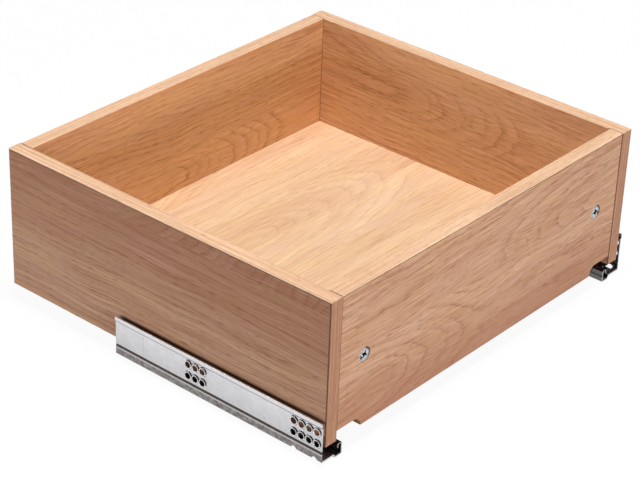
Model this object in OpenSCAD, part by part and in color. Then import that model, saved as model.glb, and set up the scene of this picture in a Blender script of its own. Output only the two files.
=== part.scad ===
// Flat-pack drawer box on a pair of concealed ball-bearing slides.
// X runs across the drawer, the drawer opens towards -Y, Z is up.
// The origin lies under the middle of the part, at the level of the slides' lowest faces.
// "Slide frame" below means: x from the drawer's left outer face, y from its front ends,
// z from the lower edge of its sides. The right-hand hardware is the mirror image.

/* [Drawer box] */
// Outside width of the drawer box
drawer_w = 452; // [320:1:800]
// Depth of the drawer box, front to back
drawer_d = 400; // [380:1:600]
// Height of the drawer sides
drawer_h = 148; // [110:1:250]
// Thickness of the sides, front and back
panel_t = 15; // [14:0.5:19]
// Thickness of the bottom panel
bottom_t = 15; // [8:0.5:16]
// Height of the bottom panel's underside above the lower edge of the sides
bottom_recess = 10; // [10:0.5:13]
// Depth of the groove that holds the bottom panel
groove_d = 6; // [4:0.5:7]
// Thickness of the edge banding
band_t = 0.8; // [0.4:0.1:1.2]
// How far the front and back lie inside the ends of the sides
end_inset = 0.5; // [0:0.1:2]

/* [Corner joints] */
// Diameter of the cam locks
cam_d = 15; // [12:0.5:16]
// Depth of the cam bores
cam_depth = 12.5; // [11:0.5:13]
// Distance from a side's inner face to the cam's centre
cam_inset = 34; // [24:1:40]
// Diameter of the cam bolts' shanks
bolt_d = 6; // [5:0.5:7]
// Diameter of the wooden dowels
dowel_d = 8; // [6:1:8]
// Length of the wooden dowels
dowel_l = 30; // [25:1:35]
// Height of the lower dowels above the drawer's lower edge
dowel_low = 42; // [36:1:50]

/* [Runner notches] */
// Width of the notch in front and back, from a side's inner face
notch_w = 33; // [32:1:40]
// Radius of the notch's inner corner
notch_r = 10; // [6:0.5:10]

/* [Cabinet rail] */
// Length of the cabinet rail
rail_len = 254; // [240:1:330]
// Gap between the drawer's side and the cabinet wall
side_gap = 6; // [5.5:0.1:7]
// Thickness of the cabinet rail's sheet
rail_t = 1.2; // [1:0.1:1.4]
// Height of the flange that is screwed to the cabinet
flange_h = 41.5; // [40:0.5:50]
// Overall width of the cabinet rail, from the cabinet wall inwards
rail_w = 29; // [28:0.5:31]
// Width of the ball post
post_w = 6.5; // [6.5:0.1:7]
// Height of the ball post above the rail's lowest face
post_h = 13.2; // [13:0.1:14]
// Length of the post's curled lip
post_lip = 4.3; // [4.2:0.1:5]
// Drop from the rail's outer floor to its lower floor
floor_step = 3.2; // [2.5:0.1:3.6]
// Depth of the stiffening bead in the flange
bead_d = 0.9; // [0.5:0.1:1.2]
// Height of the bead's line below the flange's top edge
bead_drop = 30.6; // [30:0.1:31.5]
// How far the screw bosses stand out of the flange
boss_h = 1; // [0.6:0.1:1.1]
// Diameter of the screw holes
hole_d = 6.6; // [4:0.1:6.8]
// Distance between the screw holes of one row
hole_pitch = 9; // [8.9:0.1:10]
// Distance between the two rows of screw holes
row_pitch = 12; // [11:0.5:13]
// Height of the upper row below the flange's top edge
row_drop = 10.9; // [10:0.1:12]
// Distance from the rail's front end to its first screw hole
first_hole = 5.5; // [5.5:0.5:9]
// Distance between the front and the middle group of holes
group_pitch = 128; // [96:32:160]
// Radius of the two scallops in the flange's lower edge
scallop_r = 3.5; // [2:0.1:4]

/* [Drawer rail] */
// Thickness of the drawer rail's sheet
member_t = 1.2; // [1:0.1:1.4]
// Width of the ledge under the bottom panel
ledge_w = 8; // [6:0.5:8]
// Depth of the wall on the outer side of the ball post
outer_skirt = 9.5; // [9:0.1:10.5]
// Depth of the folded wall on the inner side of the ball post
inner_skirt = 12.2; // [11.6:0.1:12.4]

/* [Balls and cages] */
// Diameter of the balls
ball_d = 4; // [3.8:0.1:4.2]
// Clearance between a ball and each raceway
ball_gap = 0.15; // [0.1:0.01:0.2]
// Depth of the raceways in the sheet
race_depth = 0.6; // [0.4:0.05:0.7]
// Thickness of the ball cages
cage_t = 1.2; // [1:0.1:1.3]
// Distance between the balls of one row
ball_pitch = 12.5; // [8:0.5:20]

/* [Catches] */
// Length of the catch housing along the drawer
catch_l = 60; // [58:1:70]
// Width of the catch housing
catch_w = 42; // [40:1:50]
// Thickness of the catch housing's plate
catch_t = 3.2; // [3:0.1:4]
// Diameter of the lever's pivot pin
pivot_d = 6; // [5:0.5:6]
// Thickness of the lever's finger pad
pad_t = 3.5; // [3:0.1:4]
// Diameter of the catch screws' shanks
screw_d = 3.5; // [3:0.1:4]
// Wire diameter of the lever's return spring
wire_d = 0.8; // [0.6:0.1:0.9]

/* [Rear hooks] */
// Thickness of the hook plate
hook_t = 1.5; // [1.2:0.1:2]
// Diameter of the hook's finger
finger_d = 5; // [4:0.5:5.5]
// Length of the finger in the back panel
finger_l = 8; // [6:0.5:8]
// Diameter of the hook's rivets
rivet_d = 3; // [2.5:0.1:4]

/* [Hidden] */
$fn = 48;
seat = 0.3;          // play between pieces that meet without touching
fit = 0.05;          // play of a pin or dowel in its hole
eps = 0.01;
bend_r = 1.3;        // radius of the sheet's bends, at its middle
bend_n = 4;          // flats in one bend

// levels, in the slide frame
member_under = -member_t;
race_gap = ball_d + 2 * ball_gap - 2 * race_depth;
post_top = member_under - race_gap;
rail_low = post_top - post_h;
flange_low = rail_low + floor_step;
flange_top = flange_low + flange_h;

// places across the slide
wall_x = -side_gap;
face_x = wall_x + boss_h;
post_x1 = wall_x + rail_w;
post_x0 = post_x1 - post_w;
post_mid = (post_x0 + post_x1) / 2;
skirt_x0 = post_x0 - race_gap - member_t;
skirt_x1 = post_x1 + race_gap + member_t;
upstand_x = skirt_x1 + 3.3;
ledge_x1 = upstand_x - member_t + ledge_w;

// places along the slide
front_y = end_inset;
front_back_y = front_y + panel_t;
back_y = drawer_d - end_inset;
back_front_y = back_y - panel_t;
member_y0 = front_back_y + 0.5;
member_y1 = back_y + seat;
member_len = member_y1 - member_y0;
hook_y = member_y1 + 0.2;
part_d = hook_y + hook_t;

// stops for the ball cages, stop_in inside the ends of the rails
stop_in = 3;
stop_l = 1.5;
stop_w = 1.4;
stop_h = race_gap - 1;
stop_room = stop_in + stop_l + seat;

// A cage rolls half as far as the drawer travels. When the drawer is shut, the cage's end
// stands end_room inside the cabinet rail.
end_room = 4;
half_travel = member_y1 - stop_room - (rail_len - end_room);
cage_len = rail_len - end_room - half_travel - stop_room - 0.2;
cage_y0 = rail_len - end_room - cage_len;
balls_per_row = round(cage_len / ball_pitch);

// corner fittings
cam_z = drawer_h / 2;
dowel_high = drawer_h - dowel_low;
dowel_in = 10;       // length of a dowel in the side
thread_l = 10.5;     // length of a cam bolt's thread in the side
thread_d = bolt_d - 1;
cam_head_d = bolt_d + 0.8;
cam_face = 0.3;      // how far a cam's face lies inside the panel's face

// catch screws
screw_l = 13;
screw_head_d = 7;
screw_head_h = 1.8;

// catch, in the slide frame
catch_x0 = ledge_x1 + 0.7;
catch_y0 = front_back_y + 0.7;
plate_z = bottom_recess - catch_t;
pivot_x = catch_x0 + 9;
pivot_y = catch_y0 + catch_l - 12;
spring_r = pivot_d / 2 + 1;
spring_turns = 4;
hub_r = spring_r + wire_d / 2 + 2;
hub_top = plate_z - spring_turns * wire_d - 1;
lever_top = plate_z - seat;
lever_low = lever_top - 9.5;
lever_y0 = catch_y0 + 4;
bar_w = 5;
bar_x0 = catch_x0 + 3.5;
pad_w = 25.5;
pad_low = lever_low - 4;
tooth_y0 = catch_y0 + 17;
tooth_l = 6;
tooth_z0 = 0.8;
tooth_h = 5.2;
window_y0 = tooth_y0 - 4;
window_y1 = tooth_y0 + tooth_l + seat;
screw_x = catch_x0 + catch_w - 7;
screw_places = [[screw_x, catch_y0 + 23], [screw_x, pivot_y]];

// colours
oak = [0.76, 0.60, 0.44];
oak_side = [0.66, 0.51, 0.40];
oak_floor = [0.88, 0.74, 0.56];
band = [0.88, 0.72, 0.56];
zinc = [0.78, 0.78, 0.80];
steel = [0.62, 0.62, 0.64];
plastic = [0.85, 0.40, 0.10];
beech = [0.85, 0.72, 0.52];

// ---- placing ----

// Puts slide-frame geometry in the part's frame
module in_part() {
    translate([-drawer_w / 2, -part_d / 2, -rail_low]) children();
}

// The left-hand piece in the part's frame, or its mirror image on the right
module on_side(side) {
    mirror([side == "right" ? 1 : 0, 0, 0]) in_part() children();
}

// Extrudes an (x, z) profile from y0 over len
module along_y(y0, len) {
    translate([0, y0 + len, 0]) rotate([90, 0, 0]) linear_extrude(len) children();
}

// A cylinder from p over len, along +X or +Y
module rod_x(p, d, len) {
    translate(p) rotate([0, 90, 0]) cylinder(d = d, h = len);
}
module rod_y(p, d, len) {
    translate(p) rotate([-90, 0, 0]) cylinder(d = d, h = len);
}

// ---- bent sheet ----

function unit(v) = v / norm(v);
function left_of(v) = [-v[1], v[0]];

// Points of the bend at b between a and c: an arc of radius r in n flats
function bend(a, b, c, r, n) =
    let (u = unit(a - b), w = unit(c - b), half = acos(u * w) / 2,
         reach = min(r / tan(half), norm(a - b) / 2, norm(c - b) / 2),
         rr = reach * tan(half), mid = b + unit(u + w) * rr / sin(half),
         p = b + u * reach, turn = cross(u, w) > 0 ? -1 : 1, sweep = 180 - 2 * half,
         from = atan2(p[1] - mid[1], p[0] - mid[0]))
    [for (i = [0 : n]) mid + rr * [cos(from + turn * sweep * i / n), sin(from + turn * sweep * i / n)]];

// A path with every inner corner bent
function bent(path, r, n) = [
    path[0],
    for (i = [1 : len(path) - 2]) each bend(path[i - 1], path[i], path[i + 1], r, n),
    path[len(path) - 1]
];

// The path moved sideways by d, with mitred corners
function beside(path, d) = [
    for (i = [0 : len(path) - 1])
        let (a = i == 0 ? path[1] - path[0] : path[i] - path[i - 1],
             b = i == len(path) - 1 ? path[i] - path[i - 1] : path[i + 1] - path[i],
             na = left_of(unit(a)), nb = left_of(unit(b)))
        path[i] + (na + nb) * d / (1 + na * nb)
];

function reversed(v) = [for (i = [len(v) - 1 : -1 : 0]) v[i]];

// Profile of a sheet of thickness t that follows the path with its middle
module sheet(path, t) {
    p = bent(path, bend_r, bend_n);
    polygon(concat(beside(p, t / 2), reversed(beside(p, -t / 2))));
}

// ---- wooden box ----

// A strip w wide and t thick with its two outer edges eased
module eased_strip(w, t) {
    r = t * 0.9;
    n = 3;
    polygon(concat(
        [[0, 0], [w, 0]],
        [for (i = [0 : n]) [w - r + r * cos(90 * i / n), t - r + r * sin(90 * i / n)]],
        [for (i = [0 : n]) [r - r * sin(90 * i / n), t - r + r * cos(90 * i / n)]]
    ));
}

// Bores in a side's inner face for one corner's bolt and dowels
module side_bores(y) {
    bolt_bore = thread_l + 0.5;
    rod_x([panel_t - bolt_bore, y, cam_z], thread_d + 2 * fit, bolt_bore + eps);
    for (z = [dowel_low, dowel_high])
        rod_x([panel_t - dowel_in - fit, y, z], dowel_d + 2 * fit, dowel_in + fit + eps);
}

module side_panel(side) {
    color(oak_side) on_side(side) {
        difference() {
            translate([0, band_t, 0]) cube([panel_t, drawer_d - 2 * band_t, drawer_h - band_t]);
            translate([panel_t - groove_d, front_back_y - groove_d, bottom_recess])
                cube([groove_d + eps, drawer_d - 2 * (front_back_y - groove_d), bottom_t + seat]);
            side_bores(front_y + panel_t / 2);
            side_bores(back_y - panel_t / 2);
        }
    }
}

// The two runner notches of an end panel, as seen in (x, y, z) with y across the panel
module notches(y0, len) {
    corner_x = notch_w - notch_r;
    for (m = [0, 1])
        translate([m * drawer_w, 0, 0]) mirror([m, 0, 0]) translate([panel_t, y0, 0]) {
            translate([-eps, 0, -1]) cube([corner_x + eps, len, bottom_recess + 1]);
            intersection() {
                rod_y([corner_x, 0, bottom_recess - notch_r], 2 * notch_r, len);
                translate([0, 0, -notch_r]) cube([notch_w, len, 2 * notch_r + bottom_recess]);
            }
            translate([corner_x - eps, 0, -1]) cube([notch_r, len, bottom_recess - notch_r + 1]);
        }
}

// An end panel with its outer face towards -Y, from y = 0 to panel_t
module end_panel() {
    inner_w = drawer_w - 2 * panel_t;
    seam = 0.4;
    difference() {
        linear_extrude(drawer_h - band_t) polygon([
            [panel_t, seam], [panel_t + seam, 0], [panel_t + inner_w - seam, 0],
            [panel_t + inner_w, seam], [panel_t + inner_w, panel_t], [panel_t, panel_t]
        ]);
        notches(-1, panel_t + 2);
        translate([panel_t - eps, panel_t - groove_d, bottom_recess])
            cube([inner_w + 2 * eps, groove_d + eps, bottom_t + seat]);
        for (m = [0, 1])
            translate([m * drawer_w, 0, 0]) mirror([m, 0, 0]) {
                rod_y([panel_t + cam_inset, -eps, cam_z], cam_d, cam_depth + eps);
                rod_x([panel_t - eps, panel_t / 2, cam_z], bolt_d + 2, cam_inset);
                for (z = [dowel_low, dowel_high])
                    rod_x([panel_t - eps, panel_t / 2, z], dowel_d + 2 * fit, dowel_l - dowel_in + fit);
            }
    }
}

module front_panel() {
    color(oak) in_part() {
        translate([0, front_y, 0]) end_panel();
    }
}

// The back is the same panel turned round, with a hole for each hook's finger
module back_panel() {
    color(oak) in_part() {
        difference() {
            translate([0, back_y, 0]) mirror([0, 1, 0]) end_panel();
            for (m = [0, 1])
                translate([m * drawer_w, 0, 0]) mirror([m, 0, 0])
                    rod_y([finger_x, back_y - finger_l - 0.5, finger_z], finger_d + 2 * seat, finger_l + 1);
        }
    }
}

module bottom_panel() {
    color(oak_floor) in_part() {
        w = drawer_w - 2 * panel_t + 2 * (groove_d - seat);
        d = back_front_y - front_back_y + 2 * (groove_d - seat);
        difference() {
            translate([(drawer_w - w) / 2, (drawer_d - d) / 2, bottom_recess]) cube([w, d, bottom_t]);
            for (m = [0, 1])
                translate([m * drawer_w, 0, 0]) mirror([m, 0, 0])
                    for (p = screw_places)
                        translate([p[0], p[1], bottom_recess - eps])
                            cylinder(d = screw_d + 2 * fit, h = screw_l - catch_t + 1, $fn = 24);
        }
    }
}

module edge_bands_top() {
    color(band) in_part() {
        for (x = [0, drawer_w - panel_t])
            translate([x, 0, drawer_h - band_t]) along_y(0, drawer_d) eased_strip(panel_t, band_t);
        for (y = [front_y, back_front_y])
            translate([panel_t, y, drawer_h - band_t])
                rotate([90, 0, 90]) linear_extrude(drawer_w - 2 * panel_t) eased_strip(panel_t, band_t);
    }
}

module edge_bands_ends() {
    color(oak_side) in_part() {
        for (x = [0, drawer_w - panel_t]) {
            translate([x + panel_t, band_t, 0]) rotate([0, 0, 180])
                linear_extrude(drawer_h - band_t) eased_strip(panel_t, band_t);
            translate([x, drawer_d - band_t, 0])
                linear_extrude(drawer_h - band_t) eased_strip(panel_t, band_t);
        }
    }
}

// ---- corner fittings ----

// Cam lock with its face towards -Y and its axis through the origin, turned by angle
module cam(angle) {
    r = cam_d / 2 - fit;
    edge = 0.6;
    recess = 3;
    cross_l = 7.4;
    cross_w = 1.9;
    difference() {
        union() {
            rod_y([0, cam_face + edge, 0], 2 * r, cam_depth - cam_face - edge - 0.2);
            translate([0, cam_face + edge, 0]) rotate([90, 0, 0]) cylinder(r1 = r, r2 = r - 0.5, h = edge);
        }
        // recess for a cross-head screwdriver
        rotate([0, angle, 0]) {
            for (a = [0, 90])
                rotate([0, a, 0]) translate([-cross_l / 2, 0, -cross_w / 2]) cube([cross_l, recess, cross_w]);
            translate([0, recess, 0]) rotate([90, 0, 0]) cylinder(r1 = 1.2, r2 = 2.4, h = recess);
            // dot that shows which way the cam points
            rod_y([0, 0, 5.4], 1.2, cam_face + 0.5);
        }
        // hook slot that takes the bolt's head
        rod_x([-cam_d, panel_t / 2, 0], cam_head_d + 2 * seat, cam_d);
        rod_y([0, panel_t / 2 - 1.8, 0], cam_d - 5, 3.6);
    }
}

// Bolt with its head at the origin and its thread towards -X
module cam_bolt() {
    head_l = 3;
    neck_l = 1.8;
    rod_x([-head_l, 0, 0], cam_head_d, head_l);
    rod_x([-head_l - neck_l, 0, 0], bolt_d * 0.7, neck_l + eps);
    rod_x([-cam_inset, 0, 0], bolt_d, cam_inset - head_l - neck_l + eps);
    rod_x([-cam_inset - thread_l, 0, 0], thread_d, thread_l + eps);
}

module at_corners() {
    for (m = [0, 1], n = [0, 1])
        translate([m * drawer_w, n * drawer_d, 0]) mirror([m, 0, 0]) mirror([0, n, 0])
            translate([0, front_y, 0]) children();
}

module cam_bolts() {
    color(steel) in_part() {
        at_corners() translate([panel_t + cam_inset, panel_t / 2, cam_z]) cam_bolt();
    }
}

module corner_dowels() {
    color(beech) in_part() {
        at_corners()
            for (z = [dowel_low, dowel_high])
                rod_x([panel_t - dowel_in, panel_t / 2, z], dowel_d, dowel_l - 0.5);
    }
}

// The cam lock at one corner, turned by angle
module cam_lock(side, end, angle) {
    color(zinc) on_side(side) translate([panel_t + cam_inset, end == "front" ? front_y : back_y, cam_z])
        mirror([0, end == "front" ? 0 : 1, 0]) cam(angle);
}

// ---- cabinet rail ----

strip_h = 4.2;       // plain strip along the flange's top
jog = 1;             // height of the bend below it
bead_w = 1.2;        // half the bead's width
ramp_x = post_x0 - 3;
ramp_w = floor_step / 2;

cabinet_path = [
    [wall_x + rail_t / 2, flange_top],
    [wall_x + rail_t / 2, flange_top - strip_h],
    [face_x + rail_t / 2, flange_top - strip_h - jog],
    [face_x + rail_t / 2, flange_top - bead_drop + bead_w],
    [face_x + rail_t / 2 + bead_d, flange_top - bead_drop],
    [face_x + rail_t / 2, flange_top - bead_drop - bead_w],
    [face_x + rail_t / 2, flange_low + rail_t / 2],
    [ramp_x - ramp_w, flange_low + rail_t / 2],
    [ramp_x, rail_low + rail_t / 2],
    [post_x1 - rail_t / 2, rail_low + rail_t / 2],
    [post_x1 - rail_t / 2, post_top - rail_t / 2],
    [post_x0 + rail_t / 2, post_top - rail_t / 2],
    [post_x0 + rail_t / 2, post_top - post_lip]
];

// Middle of each ball row, as (x, z)
row_top = [post_mid, post_top + race_gap / 2];
row_outer = [post_x0 - race_gap / 2, post_top - 2.2];
row_inner = [post_x1 + race_gap / 2, post_top - 5.6];
rows = [row_top, row_outer, row_inner];

module raceways() {
    for (c = rows) translate(c) circle(d = ball_d + 2 * ball_gap);
}

// Stop for the ball cage, pressed out of the sheet: a lug at (x, y) from z0 to z1
module cage_stop(x, y, z0, z1) {
    translate([x, y, z0]) cube([stop_w, stop_l, z1 - z0]);
}

// Heights of the two rows of screw holes
hole_rows = [flange_top - row_drop, flange_top - row_drop - row_pitch];
// Places of the screw holes along the rail
hole_columns = [
    for (i = [0 : 3]) first_hole + i * hole_pitch,
    for (i = [1 : 3]) first_hole + i * hole_pitch + group_pitch
];
boss_slope = 0.9;
boss_rim = 0.8;      // flat ring round a screw hole
boss_r = hole_d / 2 + boss_rim + boss_slope;
// Places of the scallops along the rail
scallop_ys = [first_hole + hole_pitch / 3, first_hole + 3 * hole_pitch];

module screw_boss(y, z) {
    translate([face_x + eps, y, z]) rotate([0, -90, 0])
        cylinder(r1 = boss_r, r2 = boss_r - boss_slope, h = boss_h + eps);
}

module screw_hole(y, z) {
    rod_x([wall_x - 1, y, z], hole_d, rail_t + boss_h + 2);
    translate([face_x + rail_t + eps, y, z]) rotate([0, -90, 0])
        cylinder(r1 = boss_r - boss_slope, r2 = hole_d / 2, h = boss_h);
}

module cabinet_rail(side) {
    color(zinc) on_side(side) {
        difference() {
            union() {
                along_y(0, rail_len) difference() {
                    sheet(cabinet_path, rail_t);
                    raceways();
                }
                for (y = hole_columns, z = hole_rows) screw_boss(y, z);
                for (y = [cage_y0 - half_travel - seat - stop_l, cage_y0 + cage_len + seat])
                    cage_stop(post_x0 + 1, y, post_top - rail_t / 2, post_top + stop_h);
            }
            for (y = hole_columns, z = hole_rows) screw_hole(y, z);
            for (y = scallop_ys)
                rod_x([face_x - 1, y, flange_low], 2 * scallop_r, 6);
        }
    }
}

// ---- drawer rail ----

drawer_path = [
    [skirt_x0 + member_t / 2, -outer_skirt],
    [skirt_x0 + member_t / 2, -member_t / 2],
    [skirt_x1 - member_t / 2, -member_t / 2],
    [skirt_x1 - member_t / 2, -inner_skirt],
    [upstand_x - member_t / 2, -inner_skirt],
    [upstand_x - member_t / 2, bottom_recess - member_t / 2],
    [ledge_x1, bottom_recess - member_t / 2]
];

// Places of the hook's rivets and of its finger
rivet_z = -3;
rivet_ys = [member_y1 - 24, member_y1 - 10];
finger_x = upstand_x + 2.5;
finger_z = bottom_recess + 7.5;

module drawer_rail(side) {
    color(zinc) on_side(side) {
        difference() {
            union() {
                along_y(member_y0, member_len) difference() {
                    sheet(drawer_path, member_t);
                    raceways();
                }
                for (y = [cage_y0 - seat - stop_l, cage_y0 + cage_len + half_travel + seat])
                    cage_stop(post_x1 - 2.3, y, member_under - stop_h, -member_t / 2);
            }
            // window that the catch's tooth locks into
            translate([upstand_x - 2 * member_t, window_y0, tooth_z0 - seat])
                cube([3 * member_t, window_y1 - window_y0, tooth_h + 2 * seat]);
            for (y = rivet_ys)
                rod_x([upstand_x - 2 * member_t, y, rivet_z], rivet_d + 2 * fit, 3 * member_t);
        }
    }
}

// ---- balls and cage ----

cage_path = [
    [row_outer[0], row_outer[1] - 3.2],
    [row_outer[0], row_top[1]],
    [row_inner[0], row_top[1]],
    [row_inner[0], row_inner[1] - 3.4]
];
pocket_d = ball_d + 0.2;
ball_ys = [for (i = [0 : balls_per_row - 1]) cage_y0 + cage_len * (i + 0.5) / balls_per_row];

module ball_cage(side) {
    color(plastic) on_side(side) {
        difference() {
            along_y(cage_y0, cage_len) sheet(cage_path, cage_t);
            for (y = ball_ys) {
                translate([row_top[0], y, row_top[1] - cage_t]) cylinder(d = pocket_d, h = 2 * cage_t);
                for (c = [row_outer, row_inner])
                    rod_x([c[0] - cage_t, y, c[1]], pocket_d, 2 * cage_t);
            }
        }
    }
}

module balls(side) {
    color(steel) on_side(side) {
        for (y = ball_ys, c = rows) translate([c[0], y, c[1]]) sphere(d = ball_d);
    }
}

// ---- catch ----

module catch_housing(side) {
    wall_t = 1.6;
    wall_h = 8.5;
    boss_d = screw_head_d + 3;
    wall_y0 = pivot_y - hub_r - 4;
    pin_low = lever_low - seat;
    head_h = 1.4;
    color(plastic) on_side(side) {
        difference() {
            union() {
                translate([catch_x0, catch_y0, plate_z]) cube([catch_w, catch_l, catch_t]);
                // walls round the lever, open at the front
                translate([catch_x0, catch_y0, plate_z - wall_h]) {
                    translate([catch_w - wall_t, 0, 0]) cube([wall_t, catch_l, wall_h + 1]);
                    translate([0, catch_l - wall_t, 0]) cube([catch_w, wall_t, wall_h + 1]);
                    translate([0, wall_y0 - catch_y0, 0])
                        cube([wall_t, catch_y0 + catch_l - wall_y0, wall_h + 1]);
                }
                // bosses round the screws
                for (p = screw_places)
                    translate([p[0], p[1], plate_z - 2]) cylinder(d = boss_d, h = 3);
                // pivot pin with its snap head
                translate([pivot_x, pivot_y, pin_low - head_h]) {
                    cylinder(d = pivot_d, h = plate_z - pin_low + head_h + 1);
                    cylinder(d1 = pivot_d, d2 = pivot_d + 2.4, h = head_h);
                }
            }
            for (p = screw_places) translate([p[0], p[1], plate_z]) {
                translate([0, 0, -3]) cylinder(d = screw_d + 2 * fit, h = catch_t + 4, $fn = 24);
                translate([0, 0, -3]) cylinder(d = screw_head_d + 2 * seat, h = 3);
            }
            // hole for the spring's upper leg
            translate([pivot_x, pivot_y + spring_r, plate_z - eps])
                cylinder(d = wire_d + 0.4, h = 2, $fn = 16);
        }
    }
}

module catch_lever(side) {
    tooth_x = upstand_x - member_t - 0.6;
    color(plastic) on_side(side) {
        difference() {
            union() {
                translate([pivot_x, pivot_y, lever_low]) cylinder(r = hub_r, h = hub_top - lever_low);
                // bar beside the drawer rail, taller where it carries the pad and the tooth
                translate([bar_x0, lever_y0, lever_low]) {
                    cube([bar_w, pivot_y - lever_y0, hub_top - lever_low]);
                    cube([bar_w, 30, lever_top - lever_low]);
                }
                // locking tooth, with a lead-in towards the front
                translate([0, 0, tooth_z0]) linear_extrude(tooth_h) polygon([
                    [bar_x0 + 1, tooth_y0], [upstand_x + 0.4, tooth_y0], [tooth_x, tooth_y0 + 2.6],
                    [tooth_x, tooth_y0 + tooth_l], [bar_x0 + 1, tooth_y0 + tooth_l]
                ]);
                // finger pad with ribs
                translate([bar_x0, lever_y0, pad_low]) {
                    cube([pad_w, pad_t, lever_top - pad_low]);
                    for (i = [0 : 5])
                        translate([bar_w + 3 + 3 * i, 0, 0])
                            cylinder(r = 0.6, h = lever_top - pad_low, $fn = 16);
                }
                // web behind the pad
                translate([bar_x0, lever_y0, lever_low]) linear_extrude(2) polygon([
                    [1, 1], [pad_w, 1], [pad_w, pad_t + 2], [bar_w, pad_t + 14.5], [1, pad_t + 14.5]
                ]);
            }
            translate([pivot_x, pivot_y, lever_low - 1])
                cylinder(d = pivot_d + 2 * fit, h = hub_top - lever_low + 2);
            // room for the spring's lower leg
            translate([pivot_x, pivot_y - spring_r, hub_top - 2.6]) cylinder(d = 3 * wire_d, h = 4, $fn = 24);
        }
    }
}

// Close-wound torsion spring round the pin, with a leg up into the housing and one down into the lever
module catch_spring(side) {
    pitch = wire_d * 0.8;
    leg_d = wire_d * 0.9;
    coil_l = (spring_turns - 1) * pitch;
    color(steel) on_side(side) translate([pivot_x, pivot_y, plate_z - 0.6 - wire_d / 2]) {
        rotate_extrude()
            for (i = [0 : spring_turns - 1])
                translate([spring_r, -i * pitch]) circle(d = wire_d, $fn = 24);
        translate([0, spring_r, 0]) cylinder(d = leg_d, h = 2, $fn = 24);
        translate([0, -spring_r, -coil_l - 2]) cylinder(d = leg_d, h = 2, $fn = 24);
    }
}

// Pan-head screw that points up, with the underside of its head at the origin
module catch_screw() {
    difference() {
        translate([0, 0, -screw_head_h]) cylinder(d = screw_head_d, h = screw_head_h);
        for (a = [0, 90])
            rotate(a) translate([-2, -0.4, -screw_head_h - eps]) cube([4, 0.8, 1.2]);
    }
    translate([0, 0, -eps]) cylinder(d = screw_d, h = screw_l, $fn = 24);
}

module catch_screws() {
    for (side = ["left", "right"])
        color(steel) on_side(side)
            for (p = screw_places)
                translate([p[0], p[1], plate_z]) catch_screw();
}

// ---- rear hook ----

module rear_hook(side) {
    tongue_l = 32;
    plate_w = 9;
    low = rivet_z - 5;
    color(zinc) on_side(side) {
        difference() {
            union() {
                // tongue along the rail's upstand
                translate([upstand_x, member_y1 - tongue_l, low])
                    cube([hook_t, part_d - member_y1 + tongue_l, 10]);
                // plate behind the back panel
                translate([upstand_x, hook_y, low]) cube([plate_w, hook_t, finger_z + 5 - low]);
                // finger in the back panel's hole
                rod_y([finger_x, back_y - finger_l, finger_z], finger_d, hook_y - back_y + finger_l + 1);
            }
            for (y = rivet_ys)
                rod_x([upstand_x - 1, y, rivet_z], rivet_d + 2 * fit, hook_t + 2);
        }
    }
}

module hook_rivets() {
    head_h = 0.8;
    head_d = rivet_d + 2;
    for (side = ["left", "right"])
        color(steel) on_side(side)
            for (y = rivet_ys) {
                rod_x([upstand_x - member_t - head_h, y, rivet_z], rivet_d, member_t + hook_t + 2 * head_h);
                rod_x([upstand_x - member_t - head_h, y, rivet_z], head_d, head_h);
                rod_x([upstand_x + hook_t, y, rivet_z], head_d, head_h);
            }
}

side_panel("left");  // side_panel_left
side_panel("right");  // side_panel_right
front_panel();
back_panel();
bottom_panel();
edge_bands_top();
edge_bands_ends();
cam_lock("left", "front", 28);  // cam_lock_front_left
cam_lock("right", "front", 8);  // cam_lock_front_right
cam_lock("left", "back", 15);  // cam_lock_back_left
cam_lock("right", "back", -20);  // cam_lock_back_right
cam_bolts();
corner_dowels();
cabinet_rail("left");  // cabinet_rail_left
cabinet_rail("right");  // cabinet_rail_right
drawer_rail("left");  // drawer_rail_left
drawer_rail("right");  // drawer_rail_right
ball_cage("left");  // ball_cage_left
ball_cage("right");  // ball_cage_right
balls("left");  // balls_left
balls("right");  // balls_right
catch_housing("left");  // catch_housing_left
catch_housing("right");  // catch_housing_right
catch_lever("left");  // catch_lever_left
catch_lever("right");  // catch_lever_right
catch_spring("left");  // catch_spring_left
catch_spring("right");  // catch_spring_right
catch_screws();
rear_hook("left");  // rear_hook_left
rear_hook("right");  // rear_hook_right
hook_rivets();
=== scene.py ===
"""Looks for the drawer box with concealed slides: oak-effect boards, galvanised rails, studio."""
import math

import bpy
from mathutils import Euler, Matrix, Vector


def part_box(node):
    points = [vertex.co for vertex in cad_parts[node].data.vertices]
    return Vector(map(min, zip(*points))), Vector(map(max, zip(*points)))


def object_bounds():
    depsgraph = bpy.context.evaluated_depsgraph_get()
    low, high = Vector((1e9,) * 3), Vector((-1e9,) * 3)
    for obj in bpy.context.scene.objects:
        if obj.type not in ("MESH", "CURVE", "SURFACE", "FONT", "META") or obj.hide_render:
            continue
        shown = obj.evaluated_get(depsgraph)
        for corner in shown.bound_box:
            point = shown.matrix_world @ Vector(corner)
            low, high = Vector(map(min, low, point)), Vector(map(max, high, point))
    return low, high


MM = 0.001

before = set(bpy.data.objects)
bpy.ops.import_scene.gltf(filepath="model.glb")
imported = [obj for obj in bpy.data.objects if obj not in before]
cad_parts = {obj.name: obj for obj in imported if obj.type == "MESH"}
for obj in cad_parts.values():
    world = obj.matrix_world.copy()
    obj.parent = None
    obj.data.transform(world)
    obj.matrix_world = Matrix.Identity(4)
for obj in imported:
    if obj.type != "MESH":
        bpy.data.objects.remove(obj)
cad_low, cad_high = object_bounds()

# Places that the materials are laid out from, in metres
side_low, side_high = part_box("side_panel_left")
front_low, front_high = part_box("front_panel")
rail_low, rail_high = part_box("cabinet_rail_left")
back_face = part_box("back_panel")[0].y
top_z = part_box("edge_bands_top")[1].z
drawer_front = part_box("edge_bands_ends")[0].y


# ---------------------------------------------------------------- node helpers

def rgba(r, g, b):
    return (r, g, b, 1.0)


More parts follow.
